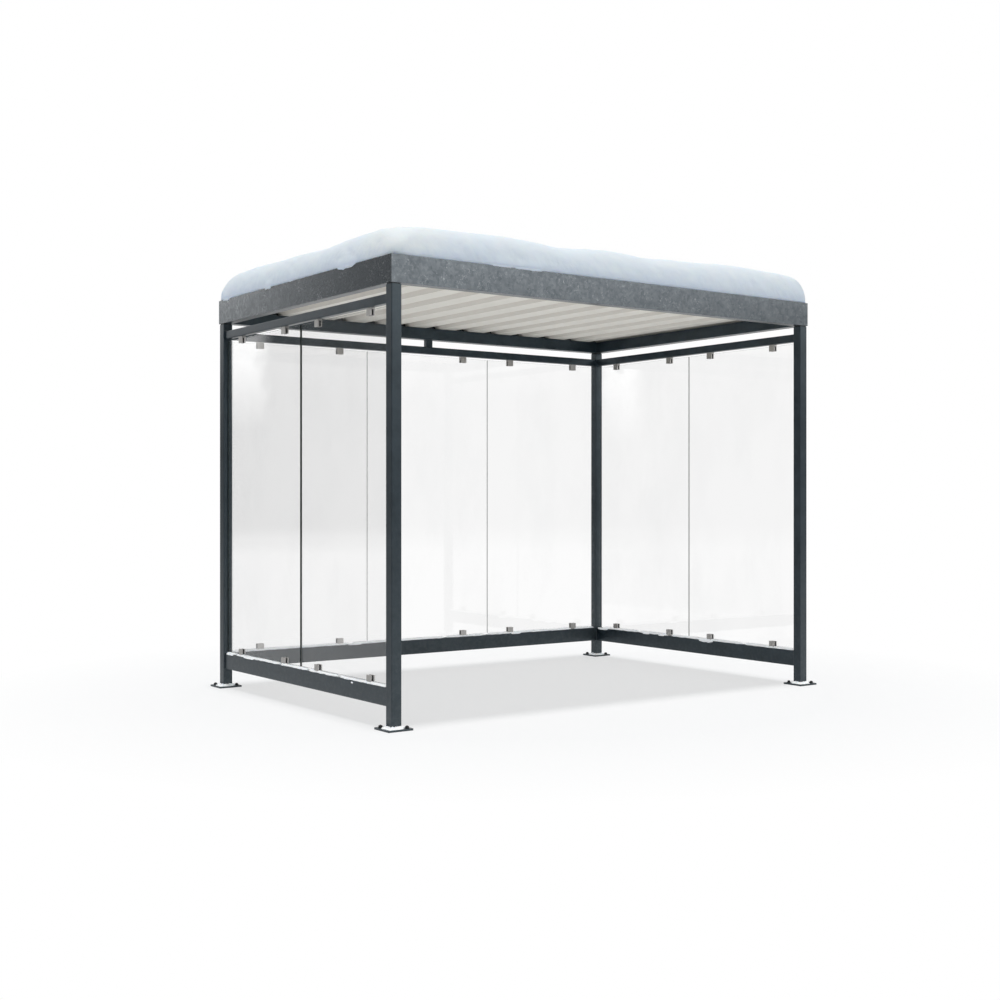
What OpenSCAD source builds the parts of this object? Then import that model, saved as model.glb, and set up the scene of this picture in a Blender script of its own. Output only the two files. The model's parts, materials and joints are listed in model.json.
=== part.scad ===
// Three-sided shelter: square steel posts on bolted foot plates, glass walls held in
// square clamps, a flat roof of ribbed sheet behind a galvanised fascia, snow on top.
// Millimetres, +Z up. The origin is at the middle of the footprint, on the ground.
// The open long side faces -Y.

/* [Frame] */
// Length over the posts
frame_l = 3120; // [2520:1:4200]
// Depth over the posts
frame_d = 2120; // [1720:1:3000]
// Width of a square post
post_w = 60; // [50:1:80]
// Wall of every post, rail and roof beam
tube_wall = 3; // [2:0.1:4]
// Outer corner radius of the posts and roof beams
tube_r = 4.2; // [3.5:0.1:5.5]
// Height of the bottom rails' underside
bottom_rail_z = 117; // [60:1:300]
// Height of a bottom rail
bottom_rail_h = 100; // [60:1:160]
// Height of the top rails' underside
top_rail_z = 2213; // [1800:1:2700]
// Height of a top rail
top_rail_h = 50; // [40:1:80]
// Depth of the rails, through the wall
rail_d = 40; // [33:1:48]
// Outer corner radius of the rails
rail_r = 5; // [4:0.1:6]
// Gap between the top rails and the roof beams
top_gap = 50; // [20:1:120]
// Width of the short strut on the back top rail
strut_w = 50; // [30:1:80]

/* [Feet and post heads] */
// Side of a foot plate
foot_w = 150; // [125:1:200]
// Corner radius of a foot plate
foot_r = 5; // [2:0.5:10]
// Thickness of a foot plate
foot_t = 10; // [6:1:15]
// Diameter of an anchor hole
anchor_d = 14; // [10:1:18]
// From an anchor hole's centre to the plate's edges
anchor_inset = 25; // [20:1:30]
// Dark gap between a post's top and the roof beams
head_gap = 5; // [3:1:15]
// From a post's outer face to the spacer in that gap
head_inset = 4; // [3:1:10]
// Thickness of the plug that closes a post's top
plug_t = 5; // [3:1:10]
// Clearance between the plug and the post's inside
plug_clear = 0.2; // [0.1:0.05:0.5]

/* [Roof] */
// Height of a roof beam
beam_h = 80; // [60:1:96]
// Height of the fascia
fascia_h = 147; // [122:1:220]
// Thickness of the fascia sheet
fascia_t = 4; // [2:0.1:5]
// Width of the fascia's top lip, from its outer face
fascia_lip = 25; // [15:1:40]
// Thickness of the roof sheet
sheet_t = 0.7; // [0.5:0.01:1]
// Distance between two ribs of the roof sheet
rib_pitch = 244.7; // [200:0.1:300]
// Height of a rib
rib_h = 35; // [25:1:45]
// Width of a rib at its foot
rib_foot = 114.6; // [95:0.1:140]
// Width of a rib at its crown
rib_crown = 64; // [50:1:80]
// From the left posts' outer face to the first rib's centre
first_rib = 113.5; // [90:0.5:140]
// How far an under-lapping crown stops short
lap_trim = 6; // [4:1:12]
// Gap between the roof sheet and the fascia at the sides
sheet_side_gap = 3; // [1:0.5:8]
// Gap between the roof sheet's ends and the fascia
sheet_end_gap = 10; // [5:1:20]

/* [Glass] */
// Thickness of a pane
glass_t = 8; // [6:0.5:10]
// Gap between two panes
pane_gap = 10; // [6:1:20]
// Gap between a pane and a post
post_gap = 5; // [3:1:15]
// Gap between a pane's edge and the rail
edge_gap = 12; // [9:1:18]

/* [Clamps] */
// Width of a clamp, along the rail
clamp_w = 45; // [37:1:60]
// Height of a clamp, from the rail
clamp_h = 43; // [35:1:60]
// Thickness of a clamp, across the glass
clamp_d = 26; // [21:1:32]
// Outer corner radius of a clamp
clamp_r = 2; // [1:0.5:6]
// Thickness of the rubber between clamp and glass
rubber_t = 2; // [1:0.1:3]
// How far the rubber stops short of the clamp's outline
rubber_inset = 1.5; // [1:0.1:3]
// From a pane's side edge to a clamp's centre
clamp_inset = 202; // [80:1:260]

/* [Snow] */
// Height of the snow above the fascia
snow_h = 205; // [150:5:300]
// Radius of the snow's shoulders
snow_shoulder = 95; // [40:5:140]
// Corner radius of the snow at its foot, seen from above
snow_corner = 170; // [141:1:260]
// From the fascia's outer face to the snow
snow_inset = 9; // [4:1:14]
// Clearance between the snow and the steel under it
snow_clear = 0.3; // [0.2:0.05:1]

/* [Hidden] */
$fn = 48;
// a little overshoot for cuts, so that no two faces coincide
eps = 1;
// the walls are divided as the nodes are named
back_panes = 3;
side_panes = 2;

// levels
bottom_rail_top = bottom_rail_z + bottom_rail_h;
top_rail_top = top_rail_z + top_rail_h;
beam_z = top_rail_top + top_gap;
post_top = beam_z - head_gap;
sheet_z = beam_z + beam_h;
fascia_top = beam_z + fascia_h;
snow_base = sheet_z + rib_h + 2 * sheet_t + snow_clear;

// snow: the shoulder's arc in steps up to its last angle, and steps round a corner
snow_step_angle = 15;
snow_last_angle = 75;
snow_corner_steps = 6;

// plan, from the middle of the footprint
half_l = frame_l / 2;
half_d = frame_d / 2;
bay_l = frame_l - 2 * post_w;
bay_d = frame_d - 2 * post_w;
wall_x = half_l - post_w / 2;
wall_y = half_d - post_w / 2;

// glass
pane_z = bottom_rail_top + edge_gap;
pane_h = top_rail_z - edge_gap - pane_z;
back_pane_w = (bay_l - 2 * post_gap - (back_panes - 1) * pane_gap) / back_panes;
side_pane_w = (bay_d - 2 * post_gap - (side_panes - 1) * pane_gap) / side_panes;
slot_w = glass_t + 2 * rubber_t;
seat_h = edge_gap - rubber_t;
jaw_t = (clamp_d - slot_w) / 2;

// roof sheet: ribs counted from the left, each sheet laps over the one on its left
sheet_l = frame_d - 2 * sheet_end_gap;
sheet_x0 = -half_l + sheet_side_gap;
sheet_x1 = half_l - sheet_side_gap;
rib_run = (rib_foot - rib_crown) / 2;
rib_angle = atan(rib_h / rib_run);
last_rib = floor((frame_l - sheet_side_gap - first_rib - rib_foot / 2) / rib_pitch);
lap_a = floor((last_rib + 1) / 3);
lap_b = floor(2 * (last_rib + 1) / 3);

// ---- shared shapes ----

// rectangle with round corners, centred
module round_rect(size, r) {
    square([size[0] - 2 * r, size[1]], center = true);
    square([size[0], size[1] - 2 * r], center = true);
    for (sx = [-1, 1], sy = [-1, 1])
        translate([sx * (size[0] / 2 - r), sy * (size[1] / 2 - r)])
            circle(r);
}

// inner corner radius of a tube
function tube_bore_r(r) = max(r - tube_wall, 0.5);

// section of a hollow tube, centred
module tube_section(size, r) {
    difference() {
        round_rect(size, r);
        round_rect([size[0] - 2 * tube_wall, size[1] - 2 * tube_wall], tube_bore_r(r));
    }
}

// strip along X with 45 degree ends, between two depths measured inwards from y = -reach;
// its ends run through the corners at x = -span and span
module mitred_strip(span, reach, near, far) {
    polygon([
        [near - span, near - reach], [span - near, near - reach],
        [span - far, far - reach], [far - span, far - reach]
    ]);
}

// tube standing on z = 0
module upright(size, r, height) {
    linear_extrude(height)
        tube_section(size, r);
}

// tube lying along X from its middle, its underside at z = 0; size is [depth, height]
module lying(size, r, length) {
    translate([-length / 2, 0, size[1] / 2])
        rotate([90, 0, 90])
            linear_extrude(length)
                tube_section(size, r);
}

// turns what lies along X into a side wall
module side_wall(side) {
    translate([side * wall_x, 0, 0])
        rotate([0, 0, 90])
            children();
}

// puts what lies along X into the back wall
module back_wall() {
    translate([0, wall_y, 0])
        children();
}

// ---- frame ----

module foot_plate(sx, sy) {
    hole_at = foot_w / 2 - anchor_inset;
    color([0.22, 0.24, 0.26])
        translate([sx * wall_x, sy * wall_y, 0])
            difference() {
                linear_extrude(foot_t)
                    round_rect([foot_w, foot_w], foot_r);
                for (s = [-1, 1])
                    translate([s * hole_at, -s * hole_at, -eps])
                        cylinder(d = anchor_d, h = foot_t + 2 * eps);
            }
}

module post(sx, sy) {
    color([0.22, 0.24, 0.26])
        translate([sx * wall_x, sy * wall_y, foot_t])
            upright([post_w, post_w], tube_r, post_top - foot_t);
}

// plug in a post's top, with the spacer that carries the roof beams
module post_head(sx, sy) {
    plug_w = post_w - 2 * tube_wall - 2 * plug_clear;
    spacer_w = post_w - 2 * head_inset;
    color([0.08, 0.08, 0.09])
        translate([sx * wall_x, sy * wall_y, post_top - plug_t]) {
            linear_extrude(plug_t)
                round_rect([plug_w, plug_w], tube_bore_r(tube_r));
            translate([-spacer_w / 2, -spacer_w / 2, plug_t / 2])
                cube([spacer_w, spacer_w, head_gap + plug_t / 2]);
        }
}

module bottom_rail(length) {
    color([0.22, 0.24, 0.26])
        translate([0, 0, bottom_rail_z])
            lying([rail_d, bottom_rail_h], rail_r, length);
}

module top_rail(length) {
    color([0.22, 0.24, 0.26])
        translate([0, 0, top_rail_z])
            lying([rail_d, top_rail_h], rail_r, length);
}

module strut() {
    color([0.22, 0.24, 0.26])
        translate([0, 0, top_rail_top])
            upright([strut_w, rail_d], rail_r, top_gap);
}

// one side of the roof's ring beam, mitred at both ends; it lies at y = -reach and
// spans x = -span to span over its outer face
module roof_beam(span, reach) {
    color([0.22, 0.24, 0.26])
        intersection() {
            translate([0, post_w / 2 - reach, beam_z])
                lying([post_w, beam_h], tube_r, 2 * span);
            translate([0, 0, beam_z - eps])
                linear_extrude(beam_h + 2 * eps)
                    mitred_strip(span, reach, -eps, post_w + eps);
        }
}

// ---- roof ----

// one side of the fascia, mitred at both ends: a web with a lip folded inwards at its top.
// Its inner face is on the posts' outer faces.
module fascia_side(span, reach) {
    color([0.47, 0.49, 0.50])
        translate([0, 0, beam_z]) {
            linear_extrude(fascia_h)
                mitred_strip(span, reach, -fascia_t, 0);
            translate([0, 0, fascia_h - fascia_t])
                linear_extrude(fascia_t)
                    mitred_strip(span, reach, -fascia_t, fascia_lip - fascia_t);
        }
}

// x of a rib's centre
function rib_x(i) = -half_l + first_rib + i * rib_pitch;

// underside of a whole rib
function rib_path(i) = [
    [rib_x(i) - rib_foot / 2, 0], [rib_x(i) - rib_crown / 2, rib_h],
    [rib_x(i) + rib_crown / 2, rib_h], [rib_x(i) + rib_foot / 2, 0]
];

// underside of the rib that another sheet laps over: it stops on its crown
function under_lap_path(i) = [
    [rib_x(i) - rib_foot / 2, 0], [rib_x(i) - rib_crown / 2, rib_h],
    [rib_x(i) + rib_crown / 2 - lap_trim, rib_h]
];

// underside of the rib that laps over another sheet: it lies on that sheet's web and crown,
// and comes down to the flange level on its own far web
function over_lap_path(i) =
    let (shift = sheet_t * tan(rib_angle / 2))
    [
        [rib_x(i) - rib_foot / 2 - shift, sheet_t], [rib_x(i) - rib_crown / 2 - shift, rib_h + sheet_t],
        [rib_x(i) + rib_crown / 2 - sheet_t / tan(rib_angle), rib_h + sheet_t],
        [rib_x(i) + rib_foot / 2, 0]
    ];

// points of several paths, one after the other
function joined(paths) = [for (path = paths, p = path) p];

// unit normal to the left of the line from a to b
function left_normal(a, b) = [a[1] - b[1], b[0] - a[0]] / norm(b - a);

// an open path moved sideways by t, with mitred corners
function moved(path, t) =
    let (last = len(path) - 1)
    [for (i = [0:last])
        let (
            before = left_normal(path[max(i - 1, 0)], path[max(i, 1)]),
            after = left_normal(path[min(i, last - 1)], path[min(i + 1, last)])
        )
        path[i] + t * (before + after) / (1 + before * after)
    ];

// an open path as the outline of a sheet t thick
function thickened(path, t) =
    let (upper = moved(path, t))
    concat(path, [for (i = [len(upper) - 1:-1:0]) upper[i]]);

module sheet_along(path) {
    color([0.80, 0.79, 0.75])
        translate([0, sheet_l / 2, sheet_z])
            rotate([90, 0, 0])
                linear_extrude(sheet_l)
                    polygon(thickened(path, sheet_t));
}

module roof_sheet_left() {
    sheet_along(joined([
        [[sheet_x0, 0]],
        joined([for (i = [0:lap_a - 1]) rib_path(i)]),
        under_lap_path(lap_a)
    ]));
}

module roof_sheet_middle() {
    sheet_along(joined([
        over_lap_path(lap_a),
        joined([for (i = [lap_a + 1:1:lap_b - 1]) rib_path(i)]),
        under_lap_path(lap_b)
    ]));
}

module roof_sheet_right() {
    sheet_along(joined([
        over_lap_path(lap_b),
        joined([for (i = [lap_b + 1:1:last_rib]) rib_path(i)]),
        [[sheet_x1, 0]]
    ]));
}

// ---- glass walls, drawn along X in their own middle plane ----

// left edge of pane i in a wall
function pane_x(i, width, bay) = -bay / 2 + post_gap + i * (width + pane_gap);

module pane(i, width, bay) {
    color([0.75, 0.85, 0.88, 0.35])
        translate([pane_x(i, width, bay), -glass_t / 2, pane_z])
            cube([width, glass_t, pane_h]);
}

// one child at each clamp of a wall, with the rail's face at its z = 0 and the glass above it
module at_clamps(panes, width, bay) {
    for (i = [0:panes - 1], inset = [clamp_inset, width - clamp_inset])
        translate([pane_x(i, width, bay) + inset, 0, 0]) {
            translate([0, 0, bottom_rail_top])
                children();
            translate([0, 0, top_rail_z])
                mirror([0, 0, 1])
                    children();
        }
}

// outline of a clamp seen along the glass's normal: square at the rail, round at its free corners
module clamp_outline() {
    translate([-clamp_w / 2, 0])
        square([clamp_w, clamp_h - clamp_r]);
    translate([-clamp_w / 2 + clamp_r, 0])
        square([clamp_w - 2 * clamp_r, clamp_h]);
    for (s = [-1, 1])
        translate([s * (clamp_w / 2 - clamp_r), clamp_h - clamp_r])
            circle(clamp_r);
}

// a jaw whose glass side is at y = slot_w / 2
module jaw() {
    translate([0, slot_w / 2 + jaw_t, 0])
        rotate([90, 0, 0])
            linear_extrude(jaw_t)
                clamp_outline();
}

// fixed jaw, with the seat that is screwed to the rail
module clamp_body() {
    color([0.66, 0.66, 0.65]) {
        jaw();
        translate([-clamp_w / 2, -slot_w / 2, 0])
            cube([clamp_w, slot_w, seat_h]);
    }
}

// loose jaw, pressed on the seat from the other side
module clamp_cover() {
    color([0.66, 0.66, 0.65])
        mirror([0, 1, 0])
            jaw();
}

// rubber round the glass's edge
module clamp_rubber() {
    length = clamp_w - 2 * rubber_inset;
    color([0.10, 0.10, 0.11])
        difference() {
            translate([-length / 2, -slot_w / 2, seat_h])
                cube([length, slot_w, clamp_h - rubber_inset - seat_h]);
            translate([-length / 2 - eps, -glass_t / 2, edge_gap])
                cube([length + 2 * eps, glass_t, clamp_h]);
        }
}

module back_clamps() {
    back_wall()
        at_clamps(back_panes, back_pane_w, bay_l)
            children();
}

// side walls' clamps have their fixed jaws on the outside, as the back wall's have
module left_clamps() {
    side_wall(-1)
        at_clamps(side_panes, side_pane_w, bay_d)
            children();
}

module right_clamps() {
    side_wall(1)
        at_clamps(side_panes, side_pane_w, bay_d)
            mirror([0, 1, 0])
                children();
}

// ---- snow ----

// the snow is a stack of rings, each with its corners round the same four centres;
// a ring is [distance in from the fascia's outer face, height]
function snow_rings() =
    let (
        lip_edge = fascia_lip + snow_clear,
        rest_z = fascia_top + snow_clear,
        arc_z = fascia_top + snow_h - snow_shoulder * sin(snow_last_angle)
    )
    concat(
        [[lip_edge, snow_base], [lip_edge, rest_z], [snow_inset, rest_z]],
        [for (a = [0:snow_step_angle:snow_last_angle])
            [snow_inset + snow_shoulder * (1 - cos(a)), arc_z + snow_shoulder * sin(a)]]
    );

// points of one ring, anticlockwise seen from above
function ring_points(ring) =
    let (
        corner_in = snow_inset + snow_corner,
        cx = half_l + fascia_t - corner_in,
        cy = half_d + fascia_t - corner_in,
        r = corner_in - ring[0],
        centres = [[cx, cy], [-cx, cy], [-cx, -cy], [cx, -cy]]
    )
    [for (q = [0:3], k = [0:snow_corner_steps])
        let (a = 90 * q + 90 * k / snow_corner_steps)
        [centres[q][0] + r * cos(a), centres[q][1] + r * sin(a), ring[1]]];

module roof_snow() {
    rings = snow_rings();
    n = 4 * (snow_corner_steps + 1);
    last = (len(rings) - 1) * n;
    color([0.92, 0.95, 0.98])
        polyhedron(
            points = joined([for (ring = rings) ring_points(ring)]),
            faces = concat(
                [[for (i = [0:n - 1]) i]],
                [for (j = [0:len(rings) - 2], i = [0:n - 1])
                    let (next = (i + 1) % n)
                    [j * n + i, (j + 1) * n + i, (j + 1) * n + next, j * n + next]],
                [[for (i = [n - 1:-1:0]) last + i]]
            )
        );
}

// ---- nodes ----

foot_plate(-1, -1);  // foot_plate_front_left
foot_plate(1, -1);  // foot_plate_front_right
foot_plate(-1, 1);  // foot_plate_back_left
foot_plate(1, 1);  // foot_plate_back_right

post(-1, -1);  // post_front_left
post(1, -1);  // post_front_right
post(-1, 1);  // post_back_left
post(1, 1);  // post_back_right

for (sx = [-1, 1], sy = [-1, 1]) post_head(sx, sy);  // post_heads

side_wall(-1) bottom_rail(bay_d);  // bottom_rail_left
back_wall() bottom_rail(bay_l);  // bottom_rail_back
side_wall(1) bottom_rail(bay_d);  // bottom_rail_right

side_wall(-1) top_rail(bay_d);  // top_rail_left
back_wall() top_rail(bay_l);  // top_rail_back
side_wall(1) top_rail(bay_d);  // top_rail_right
back_wall() strut();  // strut_back

roof_beam(half_l, half_d);  // roof_beam_front
rotate([0, 0, 180]) roof_beam(half_l, half_d);  // roof_beam_back
rotate([0, 0, -90]) roof_beam(half_d, half_l);  // roof_beam_left
rotate([0, 0, 90]) roof_beam(half_d, half_l);  // roof_beam_right

fascia_side(half_l, half_d);  // fascia_front
rotate([0, 0, 180]) fascia_side(half_l, half_d);  // fascia_back
rotate([0, 0, -90]) fascia_side(half_d, half_l);  // fascia_left
rotate([0, 0, 90]) fascia_side(half_d, half_l);  // fascia_right

roof_sheet_left();
roof_sheet_middle();
roof_sheet_right();

side_wall(-1) pane(0, side_pane_w, bay_d);  // glass_left_front
side_wall(-1) pane(1, side_pane_w, bay_d);  // glass_left_rear
back_wall() pane(0, back_pane_w, bay_l);  // glass_back_left
back_wall() pane(1, back_pane_w, bay_l);  // glass_back_middle
back_wall() pane(2, back_pane_w, bay_l);  // glass_back_right
side_wall(1) pane(0, side_pane_w, bay_d);  // glass_right_front
side_wall(1) pane(1, side_pane_w, bay_d);  // glass_right_rear

left_clamps() clamp_body();  // clamp_bodies_left
back_clamps() clamp_body();  // clamp_bodies_back
right_clamps() clamp_body();  // clamp_bodies_right
left_clamps() clamp_cover();  // clamp_covers_left
back_clamps() clamp_cover();  // clamp_covers_back
right_clamps() clamp_cover();  // clamp_covers_right
left_clamps() clamp_rubber();  // clamp_rubbers_left
back_clamps() clamp_rubber();  // clamp_rubbers_back
right_clamps() clamp_rubber();  // clamp_rubbers_right

roof_snow();
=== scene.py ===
import json
import math
import random

import bpy
from mathutils import Matrix, Vector, noise


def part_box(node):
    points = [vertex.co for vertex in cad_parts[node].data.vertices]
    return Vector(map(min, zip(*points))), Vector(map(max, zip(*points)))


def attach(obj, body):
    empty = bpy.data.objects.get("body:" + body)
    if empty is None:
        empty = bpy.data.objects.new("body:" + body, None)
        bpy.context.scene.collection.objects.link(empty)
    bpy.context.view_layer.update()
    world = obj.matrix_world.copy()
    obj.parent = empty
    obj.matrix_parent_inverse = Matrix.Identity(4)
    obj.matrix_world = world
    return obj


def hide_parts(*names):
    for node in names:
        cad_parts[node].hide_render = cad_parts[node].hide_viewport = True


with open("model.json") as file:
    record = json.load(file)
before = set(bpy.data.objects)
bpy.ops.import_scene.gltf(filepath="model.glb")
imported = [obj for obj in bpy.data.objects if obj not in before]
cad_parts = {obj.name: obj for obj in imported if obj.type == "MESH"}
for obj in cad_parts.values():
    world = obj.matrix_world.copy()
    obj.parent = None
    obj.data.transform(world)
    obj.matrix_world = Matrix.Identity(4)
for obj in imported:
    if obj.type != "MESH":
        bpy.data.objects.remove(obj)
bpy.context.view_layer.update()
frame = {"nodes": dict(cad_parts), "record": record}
nodes = frame["nodes"]
print("frame loaded:", len(nodes), "nodes")


def startMaterial(name, colour, roughness, metallic=0.0):
    material = bpy.data.materials.new(name)
    material.use_nodes = True
    material.diffuse_color = (*colour, 1)
    shader = material.node_tree.nodes["Principled BSDF"]
    shader.inputs["Base Color"].default_value = (*colour, 1)
    shader.inputs["Roughness"].default_value = roughness
    shader.inputs["Metallic"].default_value = metallic
    return material, material.node_tree, shader


def bareMaterial(name):
    # a material with nothing but its output
    material = bpy.data.materials.new(name)
    material.use_nodes = True
    tree = material.node_tree
    tree.nodes.clear()
    return material, tree, tree.nodes.new("ShaderNodeOutputMaterial").inputs["Surface"]


def addPlace(tree, kind, scale, turn=(0, 0, 0)):
    coords = tree.nodes.new("ShaderNodeTexCoord")
    mapping = tree.nodes.new("ShaderNodeMapping")
    mapping.vector_type = kind
    mapping.inputs["Scale"].default_value = scale
    mapping.inputs["Rotation"].default_value = turn
    tree.links.new(coords.outputs["Object"], mapping.inputs["Vector"])
    return mapping.outputs["Vector"]


def surfacePlace(tree, stretch=(1, 1, 1)):
    # a place on the piece in metres, so a pattern keeps its real size
    return addPlace(tree, "POINT", stretch)


def longPlace(tree, size, turn):
    # a place for long slanting patterns: their size in metres along their own turned axes
    return addPlace(tree, "TEXTURE", size, turn)


def addNoise(tree, place, scale, detail=3.0, roughness=0.5, distortion=0.0):
    node = tree.nodes.new("ShaderNodeTexNoise")
    node.inputs["Scale"].default_value = scale
    node.inputs["Detail"].default_value = detail
    node.inputs["Roughness"].default_value = roughness
    node.inputs["Distortion"].default_value = distortion
    tree.links.new(place, node.inputs["Vector"])
    return node.outputs["Fac"]


def addCells(tree, place, scale):
    node = tree.nodes.new("ShaderNodeTexVoronoi")
    node.inputs["Scale"].default_value = scale
    tree.links.new(place, node.inputs["Vector"])
    return node.outputs["Color"]


def addRange(tree, value, fromLow, fromHigh, toLow, toHigh):
    node = tree.nodes.new("ShaderNodeMapRange")
    node.clamp = True
    limits = {"From Min": fromLow, "From Max": fromHigh, "To Min": toLow, "To Max": toHigh}
    for name, number in limits.items():
        node.inputs[name].default_value = number
    tree.links.new(value, node.inputs["Value"])
    return node.outputs["Result"]


def addMix(tree, share, first, second):
    # each colour is an output of another node or a plain colour
    node = tree.nodes.new("ShaderNodeMix")
    node.data_type = "RGBA"
    connect(tree, share, node.inputs[0])
    connect(tree, first, node.inputs[6])
    connect(tree, second, node.inputs[7])
    return node.outputs[2]


def connect(tree, value, socket):
    if isinstance(value, (int, float)):
        socket.default_value = value
    elif isinstance(value, tuple):
        socket.default_value = (*value, 1)
    else:
        tree.links.new(value, socket)


def addMath(tree, operation, first, second):
    node = tree.nodes.new("ShaderNodeMath")
    node.operation = operation
    connect(tree, first, node.inputs[0])
    connect(tree, second, node.inputs[1])
    return node.outputs[0]


def splitAxes(tree, vector):
    node = tree.nodes.new("ShaderNodeSeparateXYZ")
    tree.links.new(vector, node.inputs[0])
    return node.outputs


def heightOf(tree):
    return splitAxes(tree, surfacePlace(tree))["Z"]


def facingOf(tree):
    # which way the surface looks, as X, Y and Z
    return splitAxes(tree, tree.nodes.new("ShaderNodeNewGeometry").outputs["Normal"])


def layOver(tree, share, under, over):
    # two shaders as one: share 0 shows only the one under, 1 only the one over it
    node = tree.nodes.new("ShaderNodeMixShader")
    tree.links.new(share, node.inputs[0])
    tree.links.new(under.outputs[0], node.inputs[1])
    tree.links.new(over.outputs[0], node.inputs[2])
    return node


def addBump(tree, shader, height, strength, distance, normal=None):
    node = tree.nodes.new("ShaderNodeBump")
    node.inputs["Strength"].default_value = strength
    node.inputs["Distance"].default_value = distance
    tree.links.new(height, node.inputs["Height"])
    if normal is not None:
        tree.links.new(normal, node.inputs["Normal"])
    tree.links.new(node.outputs["Normal"], shader.inputs["Normal"])


def softEdge(tree, radius):
    # edges look eased by this radius
    node = tree.nodes.new("ShaderNodeBevel")
    node.samples = 4
    node.inputs["Radius"].default_value = radius
    return node.outputs["Normal"]


paintLook = {
    "deep": (0.008, 0.016, 0.023),
    "worn": (0.019, 0.030, 0.040),
    # pale dust colour, which is also the colour of the painted light low on the front faces
    "dustAndPaintedLight": (0.070, 0.082, 0.088),
    "roughness": (0.30, 0.36),
    "gloss": 0.58,
    "sheen": (0.80, 0.93, 1.0),
    "clouds": 7.0,  # clouds, smudges, specks and orange peel: patterns in a metre
    "smudges": 38,
    "specks": 260,
    "peel": 620,
    "splash": (0.45, 0.12),  # dust at the ground, and from the splash height up
    "splashHeight": 0.45,
    # painted light: how much lighter the faces towards the front are at the ground, and the height
    # where it fades out
    "paintedLightShare": 0.5,
    "paintedLightHeight": 1.2,
    "easedEdge": 0.0012,
}


def anthracitePaint(name, dusty):
    # powder coat: slow changes of tone, thin wiped marks, a few pale specks, orange peel, and
    # painted light low down on the faces towards the open front
    look = paintLook
    material, tree, shader = startMaterial(name, look["deep"], look["roughness"][0])
    shader.inputs["Specular IOR Level"].default_value = look["gloss"]
    shader.inputs["Specular Tint"].default_value = (*look["sheen"], 1)
    place = surfacePlace(tree)
    height = heightOf(tree)
    clouds = addRange(tree, addNoise(tree, place, look["clouds"], 4, 0.6), 0.35, 0.7, 0, 1)
    tone = addMix(tree, clouds, look["deep"], look["worn"])
    smudges = addNoise(tree, place, look["smudges"], 4, 0.6, 0.6)
    most, least = look["splash"]
    splash = addRange(tree, height, 0, look["splashHeight"], most + dusty, least + dusty)
    share = addMath(tree, "MULTIPLY", addRange(tree, smudges, 0.45, 0.72, 0, 1), splash)
    tone = addMix(tree, share, tone, look["dustAndPaintedLight"])
    # painted light: low down, the faces towards the open front are painted lighter, towards the
    # pale dust colour, where light from the floor in front falls on them
    front = addRange(tree, facingOf(tree)["Y"], -0.9, -0.5, 1, 0)
    low = addRange(tree, height, 0, look["paintedLightHeight"], look["paintedLightShare"], 0)
    film = addMath(tree, "MULTIPLY", low, addRange(tree, smudges, 0.3, 0.7, 0.6, 1.4))
    tone = addMix(tree, addMath(tree, "MULTIPLY", front, film), tone, look["dustAndPaintedLight"])
    specks = addRange(tree, addNoise(tree, place, look["specks"], 2, 0.5), 0.69, 0.76, 0, 0.5)
    tone = addMix(tree, specks, tone, look["dustAndPaintedLight"])
    tree.links.new(tone, shader.inputs["Base Color"])
    tree.links.new(addRange(tree, clouds, 0, 1, *look["roughness"]), shader.inputs["Roughness"])
    peel = addNoise(tree, place, look["peel"], 2, 0.5)
    addBump(tree, shader, peel, 0.16, 0.0005, softEdge(tree, look["easedEdge"]))
    return material


zincLook = {
    "deep": (0.062, 0.074, 0.084),
    "pale": (0.106, 0.119, 0.129),
    "fleck": (0.78, 0.80, 0.81),
    "paintedGlint": (0.24, 0.74),  # painted glint: how strongly the flecks are painted on the long faces and on the end faces
    "stain": (0.056, 0.062, 0.066),
    "roughness": (0.27, 0.21),  # of the deep and of the pale crystals
    "metal": 0.6,
    "clouds": 14,  # clouds, crystals, feathers, clusters, stains and grain: patterns in a metre
    "crystals": 62,
    "feathers": 74,
    "clusters": 11,
    "stains": (16, 16, 7),
    "grain": 120,
}


def spangledZinc(name):
    # dull galvanised sheet: crystals about 16 mm across, pale feathers in clusters, a little stain,
    # and a painted glint that makes the feathers show more on the end faces
    look = zincLook
    material, tree, shader = startMaterial(name, look["pale"], look["roughness"][0], look["metal"])
    place = surfacePlace(tree)
    clouds = addNoise(tree, place, look["clouds"], 4, 0.6)
    crystals = addCells(tree, addShift(tree, place, 26, 0.02), look["crystals"])
    patch = addMix(tree, 0.36, clouds, crystals)
    tone = addMix(tree, addRange(tree, patch, 0.3, 0.7, 0, 1), look["deep"], look["pale"])
    feathers = addNoise(tree, place, look["feathers"], 4, 0.62, 1.1)
    # painted glint: the flecks are stronger on faces looking along X, the end faces, than on the
    # long faces
    paintedGlint = addRange(tree, addMath(tree, "ABSOLUTE", facingOf(tree)["X"], 0), 0, 1, *look["paintedGlint"])
    flecks = addMath(tree, "MULTIPLY", addRange(tree, feathers, 0.56, 0.72, 0, 0.8), paintedGlint)
    sparse = addRange(tree, addNoise(tree, place, look["clusters"], 3, 0.6), 0.42, 0.62, 0.10, 1)
    tone = addMix(tree, addMath(tree, "MULTIPLY", flecks, sparse), tone, look["fleck"])
    stains = addNoise(tree, surfacePlace(tree, look["stains"]), 1, 4, 0.6)
    tone = addMix(tree, addRange(tree, stains, 0.56, 0.76, 0, 0.4), tone, look["stain"])
    tree.links.new(tone, shader.inputs["Base Color"])
    tree.links.new(addRange(tree, patch, 0.3, 0.68, *look["roughness"]), shader.inputs["Roughness"])
    addBump(tree, shader, addNoise(tree, place, look["grain"], 3, 0.6), 0.1, 0.0005)
    return material


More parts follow.
